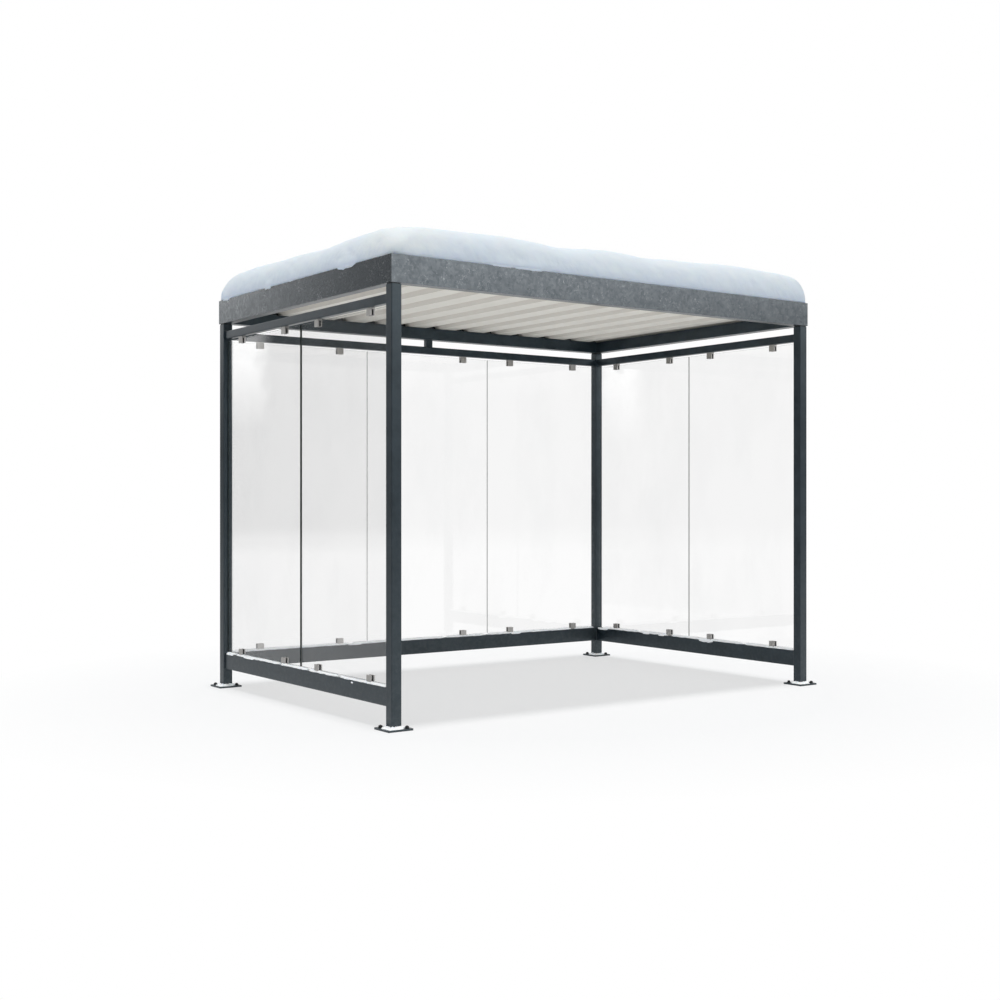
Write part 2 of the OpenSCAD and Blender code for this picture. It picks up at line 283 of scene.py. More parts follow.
def addShift(tree, place, scale, reach):
    # bends a pattern so that its cells don't look drawn
    node = tree.nodes.new("ShaderNodeTexNoise")
    node.inputs["Scale"].default_value = scale
    tree.links.new(place, node.inputs["Vector"])
    push = tree.nodes.new("ShaderNodeVectorMath")
    push.operation = "MULTIPLY_ADD"
    push.inputs[1].default_value = (reach, reach, reach)
    tree.links.new(node.outputs["Color"], push.inputs[0])
    tree.links.new(place, push.inputs[2])
    return push.outputs[0]


sheetLook = {
    "base": (0.862, 0.832, 0.753),
    "dull": (0.80, 0.77, 0.695),
    "flank": (0.755, 0.715, 0.655),  # painted shade on the flanks of the ribs
    "drip": (0.60, 0.58, 0.53),
    "roughness": (0.44, 0.58),
    "clouds": 3.2,  # clouds, drips and grain: patterns in a metre
    "drips": (40, 1.6, 8),
    "grain": 340,
}


def coatedSheet(name):
    look = sheetLook
    material, tree, shader = startMaterial(name, look["base"], look["roughness"][0])
    place = surfacePlace(tree)
    clouds = addRange(tree, addNoise(tree, place, look["clouds"], 5, 0.6), 0.4, 0.75, 0, 0.5)
    tone = addMix(tree, clouds, look["base"], look["dull"])
    drips = addNoise(tree, surfacePlace(tree, look["drips"]), 1, 3, 0.6)
    tone = addMix(tree, addRange(tree, drips, 0.6, 0.8, 0, 0.2), tone, look["drip"])
    # painted shade: the flanks of the ribs, facing along X, are darker
    flank = addRange(tree, addMath(tree, "ABSOLUTE", facingOf(tree)["X"], 0), 0.2, 0.6, 0, 1)
    tone = addMix(tree, flank, tone, look["flank"])
    tree.links.new(tone, shader.inputs["Base Color"])
    tree.links.new(addRange(tree, drips, 0.3, 0.7, *look["roughness"]), shader.inputs["Roughness"])
    addBump(tree, shader, addNoise(tree, place, look["grain"], 2, 0.5), 0.1, 0.0005)
    return material


clampLook = {
    "base": (0.56, 0.55, 0.535),
    "dull": (0.42, 0.41, 0.40),
    "roughness": (0.36, 0.5),
    "brushing": (60, 60, 1400),
    "easedEdge": 0.0012,
}


def brushedStainless(name):
    look = clampLook
    material, tree, shader = startMaterial(name, look["base"], look["roughness"][0], 1.0)
    fine = addNoise(tree, surfacePlace(tree, look["brushing"]), 1, 3, 0.6)
    tone = addMix(tree, addRange(tree, fine, 0.3, 0.7, 0, 1), look["dull"], look["base"])
    tree.links.new(tone, shader.inputs["Base Color"])
    tree.links.new(addRange(tree, fine, 0.3, 0.7, *look["roughness"]), shader.inputs["Roughness"])
    addBump(tree, shader, fine, 0.12, 0.0002, softEdge(tree, look["easedEdge"]))
    return material


rubberLook = {
    "deep": (0.014, 0.014, 0.015),
    "pale": (0.035, 0.035, 0.034),
    "roughness": 0.7,
    "grain": 900,
}


def darkRubber(name):
    look = rubberLook
    material, tree, shader = startMaterial(name, look["deep"], look["roughness"])
    grain = addNoise(tree, surfacePlace(tree), look["grain"], 2, 0.6)
    tone = addMix(tree, addRange(tree, grain, 0.35, 0.7, 0, 1), look["deep"], look["pale"])
    tree.links.new(tone, shader.inputs["Base Color"])
    addBump(tree, shader, grain, 0.2, 0.0003)
    return material


steelLook = {
    "shadow": (0.012, 0.012, 0.013),
    "anchor": (0.016, 0.016, 0.018),
    "worn": (0.055, 0.052, 0.05),
    "roughness": (0.4, 0.65),
    "metal": 0.3,
    "grain": 260,
}


def blackSteel(name, colour):
    look = steelLook
    material, tree, shader = startMaterial(name, colour, look["roughness"][0], look["metal"])
    grain = addNoise(tree, surfacePlace(tree), look["grain"], 4, 0.6)
    tone = addMix(tree, addRange(tree, grain, 0.4, 0.75, 0, 1), colour, look["worn"])
    tree.links.new(tone, shader.inputs["Base Color"])
    tree.links.new(addRange(tree, grain, 0.3, 0.7, *look["roughness"]), shader.inputs["Roughness"])
    addBump(tree, shader, grain, 0.2, 0.0003)
    return material


glassLook = {
    "tint": (0.987, 0.987, 0.987),
    "film": (0.75, 0.78, 0.8),
    "haze": 0.032,
    "smears": (2.2, 2.2, 1.1),
    "bend": 1.425,
    "mirrorBlur": 0.03,
    "edge": (0.008, 0.013, 0.012),
    "paleEdge": (0.022, 0.034, 0.030),
    "edgeGrain": 45,
    "edgeRoughness": 0.35,
    "edgeGloss": 0.15,
}


def clearPane(name):
    # thin pane: what is behind shows unbent, with a mirror share that grows at a flat angle
    look = glassLook
    material, tree, surface = bareMaterial(name)
    through = tree.nodes.new("ShaderNodeBsdfTransparent")
    through.inputs["Color"].default_value = (*look["tint"], 1)
    mirror = tree.nodes.new("ShaderNodeBsdfGlossy")
    mirror.inputs["Color"].default_value = (1, 1, 1, 1)
    mirror.inputs["Roughness"].default_value = look["mirrorBlur"]
    film = tree.nodes.new("ShaderNodeBsdfDiffuse")
    film.inputs["Color"].default_value = (*look["film"], 1)
    smear = addNoise(tree, surfacePlace(tree, look["smears"]), 1, 5, 0.6)
    hazy = layOver(tree, addRange(tree, smear, 0.45, 0.75, 0.0, look["haze"]), through, film)
    # the same mirror share from both sides of a face, so nothing is trapped inside the pane
    side = tree.nodes.new("ShaderNodeNewGeometry")
    fresnel = tree.nodes.new("ShaderNodeFresnel")
    outward = addRange(tree, side.outputs["Backfacing"], 0, 1, look["bend"], 1 / look["bend"])
    tree.links.new(outward, fresnel.inputs["IOR"])
    tree.links.new(layOver(tree, fresnel.outputs[0], hazy, mirror).outputs[0], surface)
    return material


def paneEdge(name):
    # polished edge, where the pane's depth of colour shows
    look = glassLook
    material, tree, shader = startMaterial(name, look["edge"], look["edgeRoughness"])
    shader.inputs["Specular IOR Level"].default_value = look["edgeGloss"]
    grain = addNoise(tree, surfacePlace(tree), look["edgeGrain"], 3, 0.5)
    tone = addMix(tree, addRange(tree, grain, 0.3, 0.7, 0, 1), look["edge"], look["paleEdge"])
    tree.links.new(tone, shader.inputs["Base Color"])
    return material


snowLook = {
    "roof": {
        "fresh": (0.905, 0.967, 1.0),
        "packed": (0.86, 0.935, 1.0),
        # the steep tone is painted shade on the flanks
        "steepShade": (0.815, 0.893, 0.995),
    },
    "drift": {
        "fresh": (0.97, 0.98, 0.985),
        "packed": (0.945, 0.96, 0.975),
        "steepShade": (0.945, 0.96, 0.975),
    },
    "corner": (0.94, 0.998, 1.0),  # painted light: the snow at the left front corner is painted lighter, as if more light fell on it
    "litCornerPlace": (-1.56, -1.03, 2.60),
    "cornerReach": (0.10, 0.38),
    "litCornerOnFlank": 0.8,
    # painted shade along the streaks on the flanks
    "streak": (0.70, 0.78, 0.92),
    "streakShadeShare": 0.38,
    "streakSize": (0.030, 0.030, 0.30),
    "streakTurn": (0.288, -0.574, 0.0),
    # painted shade: the foot of the flanks, just above the fascia, is darker and bluer
    "rim": (0.60, 0.68, 0.82),
    "rimShadeShare": 0.45,
    "rimShadeHeight": 0.050,
    "roughness": 0.72,
    "gloss": 0.25,
    "depth": (0.010, 0.014, 0.020),  # how far red, green and blue light goes in
    "depthShare": 0.25,
    "clouds": 3.5,  # clouds and grains: patterns in a metre
    "grains": 150,
    "relief": 0.006,
}


def settledSnow(name, tones, rimShadeZ):
    look = snowLook
    material, tree, shader = startMaterial(name, tones["fresh"], look["roughness"])
    place = surfacePlace(tree)
    clouds = addRange(tree, addNoise(tree, place, look["clouds"], 5, 0.6), 0.38, 0.7, 0, 1)
    tone = addMix(tree, clouds, tones["packed"], tones["fresh"])
    # painted light: the snow is lighter towards the left front corner, on the top and again on the
    # flanks
    away = tree.nodes.new("ShaderNodeVectorMath")
    away.operation = "DISTANCE"
    away.inputs[1].default_value = look["litCornerPlace"]
    tree.links.new(place, away.inputs[0])
    near = addRange(tree, away.outputs["Value"], *look["cornerReach"], 1, 0)
    tone = addMix(tree, near, tone, look["corner"])
    # painted shade: the steep flanks take the darker, bluer steep tone
    steepShade = addRange(tree, facingOf(tree)["Z"], -0.1, 0.55, 1, 0)
    tone = addMix(tree, steepShade, tone, tones["steepShade"])
    litCornerFlank = addMath(tree, "MULTIPLY", near, look["litCornerOnFlank"])
    tone = addMix(tree, litCornerFlank, tone, look["corner"])
    # the flanks are combed into slanting streaks with painted shade along them, and have painted
    # shade along the rim at their foot
    combed = addNoise(tree, longPlace(tree, look["streakSize"], look["streakTurn"]), 1, 3, 0.6, 0.3)
    shadedLines = addRange(tree, combed, 0.42, 0.62, 0, look["streakShadeShare"])
    tone = addMix(tree, addMath(tree, "MULTIPLY", shadedLines, steepShade), tone, look["streak"])
    # painted shade along the foot of the flanks
    rim = addRange(tree, heightOf(tree), rimShadeZ, rimShadeZ + look["rimShadeHeight"], look["rimShadeShare"], 0)
    tone = addMix(tree, rim, tone, look["rim"])
    tree.links.new(tone, shader.inputs["Base Color"])
    shader.inputs["Subsurface Weight"].default_value = look["depthShare"]
    shader.inputs["Subsurface Radius"].default_value = look["depth"]
    shader.inputs["Subsurface Scale"].default_value = 1.0
    shader.inputs["Specular IOR Level"].default_value = look["gloss"]
    grains = addNoise(tree, place, look["grains"], 4, 0.65)
    height = addMath(tree, "ADD", addMath(tree, "MULTIPLY", grains, 0.25), combed)
    addBump(tree, shader, height, 0.6, look["relief"])
    return material


finish = {
    "frame_paint": anthracitePaint("anthracitePaint", 0.0),
    "foot_paint": anthracitePaint("anthraciteFootPaint", 0.25),
    "dark_steel": blackSteel("shadowBlack", steelLook["shadow"]),
    "galvanised_fascia": spangledZinc("spangledZinc"),
    "roof_sheet": coatedSheet("coatedSheet"),
    "glass": clearPane("clearPane"),
    "stainless": brushedStainless("brushedStainless"),
    "rubber": darkRubber("darkRubber"),
    "snow": settledSnow("settledSnow", snowLook["roof"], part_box("fascia_front")[1].z),
}
edgeFinish = paneEdge("paneEdge")
anchorFinish = blackSteel("anchorBlack", steelLook["anchor"])

crustAndPaintedGlow = {  # thin crust, thawed and frozen again, with a painted glow that lights the snow under the roof as if light outside reached it
    "Coat Weight": 1.0,
    "Coat Roughness": 0.45,
    "Coat IOR": 1.6,
    # painted light: the drift snow glows a little, though it is no lamp
    "Emission Color": (0.93, 0.97, 1.0, 1),
    "Emission Strength": 0.3,
}
driftSnow = settledSnow("driftSnow", snowLook["drift"], -1)  # its painted rim shade lies below the floor, so it has none
for socketName, value in crustAndPaintedGlow.items():
    driftSnow.node_tree.nodes["Principled BSDF"].inputs[socketName].default_value = value

slotOf = {part["node"]: part["material_slot"] for part in frame["record"]["subparts"]}
for nodeName, node in nodes.items():
    node.data.materials.clear()
    node.data.materials.append(finish[slotOf[nodeName]])
print("finishes on", len(slotOf), "nodes")


def addPiece(name, points, faces, material, smooth=True):
    mesh = bpy.data.meshes.new(name)
    mesh.from_pydata(points, [], faces)
    mesh.materials.append(material)
    for face in mesh.polygons:
        face.use_smooth = smooth
    mesh.update()
    piece = bpy.data.objects.new(name, mesh)
    bpy.context.scene.collection.objects.link(piece)
    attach(piece, "root")
    return piece


def sharpenFlats(piece, degrees):
    # smooth shading only where faces meet at less than this angle
    bpy.context.view_layer.objects.active = piece
    piece.data.set_sharp_from_angle(angle=math.radians(degrees))


def gather(parts):
    # several meshes as one list of points and faces
    points, faces = [], []
    for partPoints, partFaces in parts:
        start = len(points)
        points += partPoints
        faces += [[start + i for i in face] for face in partFaces]
    return points, faces


def moved(part, matrix):
    points, faces = part
    return [tuple(matrix @ Vector(p)) for p in points], faces


def joinRings(count, rings):
    # faces between rings of count points each, and one over either end
    faces = [list(range(count - 1, -1, -1))]
    for j in range(rings - 1):
        near, far = j * count, (j + 1) * count
        for k in range(count):
            after = (k + 1) % count
            faces.append([near + k, near + after, far + after, far + k])
    faces.append([(rings - 1) * count + k for k in range(count)])
    return faces


def turned(rings, count):
    # a closed body of rings, each given as (radius at an angle, height)
    points = []
    for radius, height in rings:
        for k in range(count):
            angle = 2 * math.pi * k / count
            r = radius(angle)
            points.append((r * math.cos(angle), r * math.sin(angle), height))
    return points, joinRings(count, len(rings))


def roundRadius(r):
    return lambda angle: r


def hexRadius(acrossFlats, limit=math.inf):
    # distance from the centre to a hexagon's side, cut off by a turned chamfer
    def radius(angle):
        local = (angle + math.pi / 6) % (math.pi / 3) - math.pi / 6
        return min(acrossFlats / 2 / math.cos(local), limit)

    return radius


paneSizes = {"arris": 0.0008, "bothEdgesDark": "glass_left"}  # the wall with both edges dark


def arrisedSlab(low, high, arris):
    # a slab with its edges ground off at 45 degrees
    # rims are the faces round it apart from the far end, and farRims the far end
    points, faces, rims, farRims = [], [], [], []
    thin = min(range(3), key=lambda i: high[i] - low[i])
    wide, tall = [i for i in range(3) if i != thin]
    near, far = low[thin], high[thin]
    for depth, inset in ((near, arris), (near + arris, 0), (far - arris, 0), (far, arris)):
        for farSide, upper in ((0, 0), (1, 0), (1, 1), (0, 1)):
            p = [0.0, 0.0, 0.0]
            p[thin] = depth
            p[wide] = high[wide] - inset if farSide else low[wide] + inset
            p[tall] = high[tall] - inset if upper else low[tall] + inset
            points.append(tuple(p))
    flip = 1 if (wide, tall) in ((0, 1), (1, 2)) else -1
    faces.append([3, 2, 1, 0][::flip])
    for level in range(3):
        for k in range(4):
            after = (k + 1) % 4
            base, top = level * 4, level * 4 + 4
            if k == 3 or (level == 1 and k != 1):
                rims.append(len(faces))
            elif level == 1:
                farRims.append(len(faces))
            faces.append([base + k, base + after, top + after, top + k][::flip])
    faces.append([12, 13, 14, 15][::flip])
    return points, faces, rims, farRims


for nodeName in sorted(n for n in nodes if n.startswith("glass_")):
    low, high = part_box(nodeName)
    points, faces, rims, farRims = arrisedSlab(low, high, paneSizes["arris"])
    pane = addPiece("pane" + nodeName[5:], points, faces, finish["glass"], smooth=False)
    pane.data.materials.append(edgeFinish)
    # where only one of the two edges at a joint is dark, the joint is one thin line
    if nodeName.startswith(paneSizes["bothEdgesDark"]):
        rims += farRims
    for index in rims:
        pane.data.polygons[index].material_index = 1
    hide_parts(nodeName)
print("panes cut")


anchorSizes = {
    "nutAcrossFlats": 0.019,
    "nutHeight": 0.0085,
    "washer": 0.024,
    "washerThickness": 0.0025,
    "stud": 0.012,
    "studAbove": 0.0028,
    "pitch": 0.00175,
    "threadDepth": 0.0007,
    "chamfer": 0.0012,
    "easedEdge": 0.0003,
    "lift": 0.0001,
    "sides": 48,
    "fromEdge": 0.025,
    "turns": (12, 40),  # how far the two nuts of a plate are turned, in degrees
}


def anchorHead():
    s = anchorSizes
    washer, stud, flats = s["washer"] / 2, s["stud"] / 2, s["nutAcrossFlats"]
    eased, root = s["easedEdge"], s["stud"] / 2 - s["threadDepth"]
    cutOff = flats / 2 * 1.04
    nutBase = s["washerThickness"]
    nutTop = nutBase + s["nutHeight"]
    washerBody = turned([
        (roundRadius(washer - eased), s["lift"]),
        (roundRadius(washer), s["lift"] + eased),
        (roundRadius(washer), nutBase - eased),
        (roundRadius(washer - eased), nutBase),
    ], s["sides"])
    nut = turned([
        (hexRadius(flats, cutOff), nutBase),
        (hexRadius(flats), nutBase + s["chamfer"]),
        (hexRadius(flats), nutTop - s["chamfer"]),
        (hexRadius(flats, cutOff), nutTop - s["lift"]),
        (roundRadius(stud + 0.0008), nutTop),
    ], s["sides"])
    thread = []
    height = nutTop
    while height < nutTop + s["studAbove"] - s["pitch"]:
        thread.append((roundRadius(root), height))
        thread.append((roundRadius(stud), height + s["pitch"] / 2))
        height += s["pitch"]
    thread.append((roundRadius(root), height))
    thread.append((roundRadius(stud - 0.0015), nutTop + s["studAbove"]))
    return gather([washerBody, nut, turned(thread, 32)])


for nodeName in sorted(n for n in nodes if n.startswith("foot_plate_")):
    low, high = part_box(nodeName)
    inset = anchorSizes["fromEdge"]
    spots = {"a": (low.x + inset, high.y - inset), "b": (high.x - inset, low.y + inset)}
    for (label, (x, y)), turn in zip(spots.items(), anchorSizes["turns"]):
        place = Matrix.Translation((x, y, high.z)) @ Matrix.Rotation(math.radians(turn), 4, "Z")
        points, faces = moved(anchorHead(), place)
        name = "anchor" + nodeName[10:] + "_" + label
        sharpenFlats(addPiece(name, points, faces, anchorFinish), 35)
print("anchors set")


screwSizes = {
    "head": 0.011,
    "easedEdge": 0.0004,
    "socket": 0.005,
    "stands": 0.0006,
    "floor": 0.0001,
}


def screwHead():
    # countersunk head with a hexagon socket, its face up
    s = screwSizes
    return turned([
        (roundRadius(s["head"] / 2), 0.0),
        (roundRadius(s["head"] / 2), s["stands"] * 0.6),
        (roundRadius(s["head"] / 2 - s["easedEdge"]), s["stands"]),
        (hexRadius(s["socket"]), s["stands"]),
        (hexRadius(s["socket"] * 0.96), s["floor"]),
    ], 48)


def blockBoxes(node):
    # box round each separate block in a node
    mesh = node.data
    parent = list(range(len(mesh.vertices)))

    def root(i):
        while parent[i] != i:
            parent[i] = parent[parent[i]]
            i = parent[i]
        return i

    places = {}
    for vertex in mesh.vertices:
        key = tuple(round(c, 5) for c in vertex.co)
        if key in places:
            parent[root(vertex.index)] = root(places[key])
        places.setdefault(key, vertex.index)
    for edge in mesh.edges:
        parent[root(edge.vertices[0])] = root(edge.vertices[1])
    groups = {}
    for vertex in mesh.vertices:
        groups.setdefault(root(vertex.index), []).append(vertex.co)
    boxes = []
    for members in groups.values():
        low = Vector(min(p[i] for p in members) for i in range(3))
        high = Vector(max(p[i] for p in members) for i in range(3))
        boxes.append((low, high))
    return sorted(boxes, key=lambda b: tuple(b[0]))


# the way into the shelter from each wall
wallInside = {"left": Vector((1, 0, 0)), "right": Vector((-1, 0, 0)), "back": Vector((0, -1, 0))}
for wall, inward in wallInside.items():
    heads = []
    for low, high in blockBoxes(nodes["clamp_covers_" + wall]):
        middle = (low + high) / 2
        face = Vector(middle[i] + inward[i] * (high[i] - low[i]) / 2 for i in range(3))
        aim = inward.to_track_quat("Z", "Y").to_matrix().to_4x4()
        heads.append(moved(screwHead(), Matrix.Translation(face) @ aim))
    points, faces = gather(heads)
    screws = addPiece("clamp_screws_" + wall, points, faces, finish["stainless"])
    sharpenFlats(screws, 35)
print("clamp screws in")


roofSnow = {
    "setBack": 0.004,
    "height": 0.184,
    "shoulder": 0.135,
    "roundness": 2.3,
    "corners": [  # (x side, y side, corner radius at the foot, growth inwards, shoulder)
        (1, 1, 0.024, 0.8, 0.11),
        (-1, 1, 0.024, 0.75, 0.155),
        (-1, -1, 0.090, 1.2, 0.16),
        (1, -1, 0.022, 0.35, 0.085),
    ],
    "cornerReach": 0.42,
    "steps": {"corner": 26, "long": 230, "short": 156, "flank": 22, "top": 26},
    "swell": 0.006,
    "streak": 0.0042,
    "lump": 0.0014,
    "hangs": 0.005,
    "fullDroop": 0.004,  # a droop this deep stands wholly off the fascia
    "calmBelow": 0.3,  # no streaks or lumps at the foot, up to this share of the height
    "underEdge": 0.014,  # how far inside the rim the underside starts
    "lift": 0.0003,
    "rises": [  # (x, y, height, reach)
        (0.97, -0.90, 0.018, 0.26),
        (-0.80, -0.95, 0.006, 0.20),
        (-0.05, -0.95, 0.006, 0.16),
        (-0.39, -0.98, -0.016, 0.15),
        (0.26, -0.98, -0.010, 0.14),
        (-1.48, -0.24, -0.014, 0.20),
        (-1.45, 0.66, 0.008, 0.25),
        (-1.50, 0.25, -0.008, 0.55),
        (-1.32, -0.90, 0.006, 0.30),
        (1.56, -1.00, -0.014, 0.14),
    ],
    "droops": [  # (side, middle, half length, depth)
        ("left", -0.59, 0.110, 0.016),
        ("left", 0.06, 0.030, 0.003),
        ("left", 0.36, 0.045, 0.010),
        ("left", 0.95, 0.050, 0.010),
        ("front", -0.86, 0.090, 0.003),
        ("front", -0.68, 0.110, 0.0045),
        ("right", -0.30, 0.140, 0.011),
        ("right", 0.62, 0.060, 0.006),
        ("back", -0.90, 0.160, 0.012),
        ("back", 0.35, 0.050, 0.005),
        ("back", 1.10, 0.090, 0.009),
    ],
}


def softStep(value, low, high):
    t = max(0.0, min(1.0, (value - low) / (high - low)))
    return t * t * (3 - 2 * t)


def snowOutline():
    # places round the rim: (corner, "turn", angle), then (corner, "side", share) along the side
    steps = roofSnow["steps"]
    places = []
    for corner in range(4):
        count = steps["corner"]
        places += [(corner, "turn", 90 * (corner + k / count)) for k in range(count)]
        count = steps["long"] if corner in (0, 2) else steps["short"]
        places += [(corner, "side", k / count) for k in range(count)]
    return places


def cornerPoint(corner, angle, inset, halfX, halfY):
    sideX, sideY, foot, growth, shoulder = roofSnow["corners"][corner % 4]
    hx, hy = halfX - inset, halfY - inset
    radius = foot + growth * max(0.0, min(inset, roofSnow["shoulder"]))
    radius = max(0.001, min(radius, hy - 0.001))
    turn = math.radians(angle)
    x = sideX * (hx - radius) + radius * math.cos(turn)
    y = sideY * (hy - radius) + radius * math.sin(turn)
    return Vector((x, y))


def rimPoint(place, inset, halfX, halfY):
    corner, kind, value = place
    if kind == "turn":
        facing = Vector((math.cos(math.radians(value)), math.sin(math.radians(value))))
        return cornerPoint(corner, value, inset, halfX, halfY), facing
    start = cornerPoint(corner, 90 * (corner + 1), inset, halfX, halfY)
    end = cornerPoint(corner + 1, 90 * (corner + 1), inset, halfX, halfY)
    return start.lerp(end, value), Vector(((0, 1), (-1, 0), (0, -1), (1, 0))[corner])


def snowTop(x, y):
    s = roofSnow
    height = s["height"] + s["swell"] * noise.noise(Vector((x * 1.9, y * 1.9, 3.1)))
    for middleX, middleY, rise, reach in s["rises"]:
        away = ((x - middleX) ** 2 + (y - middleY) ** 2) / reach ** 2
        height += rise * math.exp(-away)
    return height


def shoulderWidth(x, y, halfX, halfY):
    # the shoulder is wider or tighter at the corners
    width = roofSnow["shoulder"]
    for sideX, sideY, foot, growth, shoulder in roofSnow["corners"]:
        away = ((x - sideX * halfX) ** 2 + (y - sideY * halfY) ** 2) / roofSnow["cornerReach"] ** 2
        width += (shoulder - roofSnow["shoulder"]) * math.exp(-away)
    return width


def droopAt(point, facing):
    # depth of the droop below this place on the rim
    sides = {(0, 1): "back", (-1, 0): "left", (0, -1): "front", (1, 0): "right"}
    side = sides.get(tuple(round(f) for f in facing))
    depth = 0.0
    for where, middle, half, deep in roofSnow["droops"]:
        if where != side:
            continue
        along = point.x if where in ("front", "back") else point.y
        ragged = 1 + 0.3 * noise.noise(Vector((along * 31, deep * 900, 1.5)))
        ragged += 0.35 * noise.noise(Vector((along * 110, deep * 900, 4.5)))
        depth = max(depth, deep * ragged * (1 - softStep(abs(along - middle), half * 0.6, half)))
    return depth


def layRoofSnow():
    s = roofSnow
    steps = s["steps"]
    low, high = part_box("fascia_front")
    halfX, halfY = high.x - s["setBack"], -low.y - s["setBack"]
    restZ = high.z + s["lift"]
    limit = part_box("roof_snow")[1].z
    places = snowOutline()
    underside, edge = [], []
    for place in places:
        p, facing = rimPoint(place, s["underEdge"], halfX, halfY)
        underside.append((p.x, p.y, restZ))
        p, facing = rimPoint(place, 0.0, halfX, halfY)
        depth = droopAt(p, facing)
        share = min(1.0, depth / s["fullDroop"])
        p, facing = rimPoint(place, -(s["setBack"] + s["hangs"] * 0.7) * share, halfX, halfY)
        edge.append((p.x, p.y, restZ - depth))
    rings = [underside, edge]
    for k in range(1, steps["flank"] + steps["top"] + 1):
        ring = []
        for place in places:
            rim, facing = rimPoint(place, 0.0, halfX, halfY)
            width = shoulderWidth(rim.x, rim.y, halfX, halfY)
            turn = math.pi / 2 * min(1.0, k / steps["flank"])
            inset = width * (1 - math.cos(turn) ** (2 / s["roundness"]))
            rise = math.sin(turn) ** (2 / s["roundness"])
            if k > steps["flank"]:
                inset += (halfY - 0.02 - width) * (k - steps["flank"]) / steps["top"]
            settled = softStep(rise, 0.0, s["calmBelow"])
            share = min(1.0, droopAt(rim, facing) / s["fullDroop"])
            bulge = share * (s["setBack"] + s["hangs"]) * (1 - settled)
            p, facing = rimPoint(place, inset - bulge, halfX, halfY)
            z = rise * snowTop(p.x, p.y)
            streak = noise.noise(Vector((p.x * 13 + z * 11, p.y * 13 - z * 11, z * 2.5)))
            lump = noise.noise(Vector((p.x * 31, p.y * 31, z * 31)))
            push = (s["streak"] * streak + s["lump"] * lump) * settled
            p += facing * push * math.cos(turn)
            z += push * math.sin(turn) * 0.6
            ring.append((p.x, p.y, min(restZ + z, limit)))
        rings.append(ring)
    points = [p for ring in rings for p in ring]
    faces = joinRings(len(places), len(rings))
    cover = addPiece("roof_snow_cover", points, faces, finish["snow"])
    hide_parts("roof_snow")


layRoofSnow()
print("snow on the roof")

railSnow = {
    "cell": 0.007,
    "across": 14,
    "height": 0.0125,
    "underPane": 0.0108,
    "paneHalf": 0.006,
    "halfWidth": 0.0185,
    "taper": 0.03,
    "bankReach": 0.045,
    "railRound": 0.005,
    "endGap": 0.001,
    "lift": 0.0001,
    "length": (0.30, 1.00),
    "gap": (0.006, 0.02),
    "seed": 7,
    "spills": [  # (wall, towards the inside, middle, half length, depth)
        ("right", True, -0.184, 0.070, 0.010),
        ("right", True, 0.275, 0.030, 0.003),
        ("right", True, 0.440, 0.035, 0.003),
        ("right", True, 0.930, 0.060, 0.009),
        ("left", False, 0.930, 0.050, 0.003),
        ("left", False, 0.660, 0.070, 0.002),
        ("back", True, -0.600, 0.050, 0.002),
        ("back", True, 0.750, 0.040, 0.003),
    ],
    "spillThick": 0.0032,
    "spillSteps": (28, 12),
    "clot": {"place": (-1.5505, -0.63, 0.2035), "size": (0.003, 0.011, 0.0045)},
}


def sheetShell(count, rings, shape):
    # closed skin over two long faces: shape(u, v) gives the outer point and the one under it
    points, faces, outer, inner = [], [], {}, {}
    for i in range(count + 1):
        for j in range(rings + 1):
            top, under = shape(i / count, j / rings)
            rim = i in (0, count) or j in (0, rings)
            inner[i, j] = len(points)
            points.append(under)
            outer[i, j] = inner[i, j]
            if not rim:
                outer[i, j] = len(points)
                points.append(top)
    for i in range(count):
        for j in range(rings):
            square = [(i, j), (i + 1, j), (i + 1, j + 1), (i, j + 1)]
            faces.append([outer[c] for c in square])
            faces.append([inner[c] for c in square][::-1])
    return points, faces


def railPoint(along, across, z, centre, alongX):
    return (along, centre + across, z) if alongX else (centre + across, along, z)


def railHeap(start, end, centre, rail, alongX, seed, clampPlaces):
    # a blanket along the rail's top, lower below the pane and banked against the clamps
    s = railSnow
    count = max(8, round((end - start) / s["cell"]))
    restZ, roundEdge = rail["top"], rail["round"]

    def shape(u, v):
        along = start + (end - start) * u
        fromEnd = min(u, 1 - u) * (end - start)
        taper = math.sqrt(max(0.0, min(1.0, fromEnd / s["taper"])))
        side = 2 * v - 1
        edge = 1 + 0.14 * noise.noise(Vector((along * 21, seed + round(side), 4.0)))
        across = s["halfWidth"] * side * min(1.05, edge) * (0.4 + 0.6 * taper)
        bank = sum(math.exp(-(((along - c) / s["bankReach"]) ** 2)) for c in clampPlaces)
        body = 0.75 + 0.3 * noise.noise(Vector((along * 6, seed + side, 0.3))) + 0.25 * bank
        body = max(0.4, min(1.2, body + 0.1 * noise.noise(Vector((along * 30, seed, side * 2)))))
        rise = s["height"] * body * taper * (1 - abs(side) ** 3)
        if abs(across) < s["paneHalf"]:
            rise = min(rise, s["underPane"])
        past = max(0.0, abs(across) - (rail["half"] - roundEdge))
        base = restZ - (roundEdge - math.sqrt(max(0.0, roundEdge ** 2 - past ** 2))) + s["lift"]
        return (
            railPoint(along, across, max(base, restZ + rise), centre, alongX),
            railPoint(along, across, base, centre, alongX),
        )

    points, faces = sheetShell(count, s["across"], shape)
    return points, faces if alongX else [f[::-1] for f in faces]


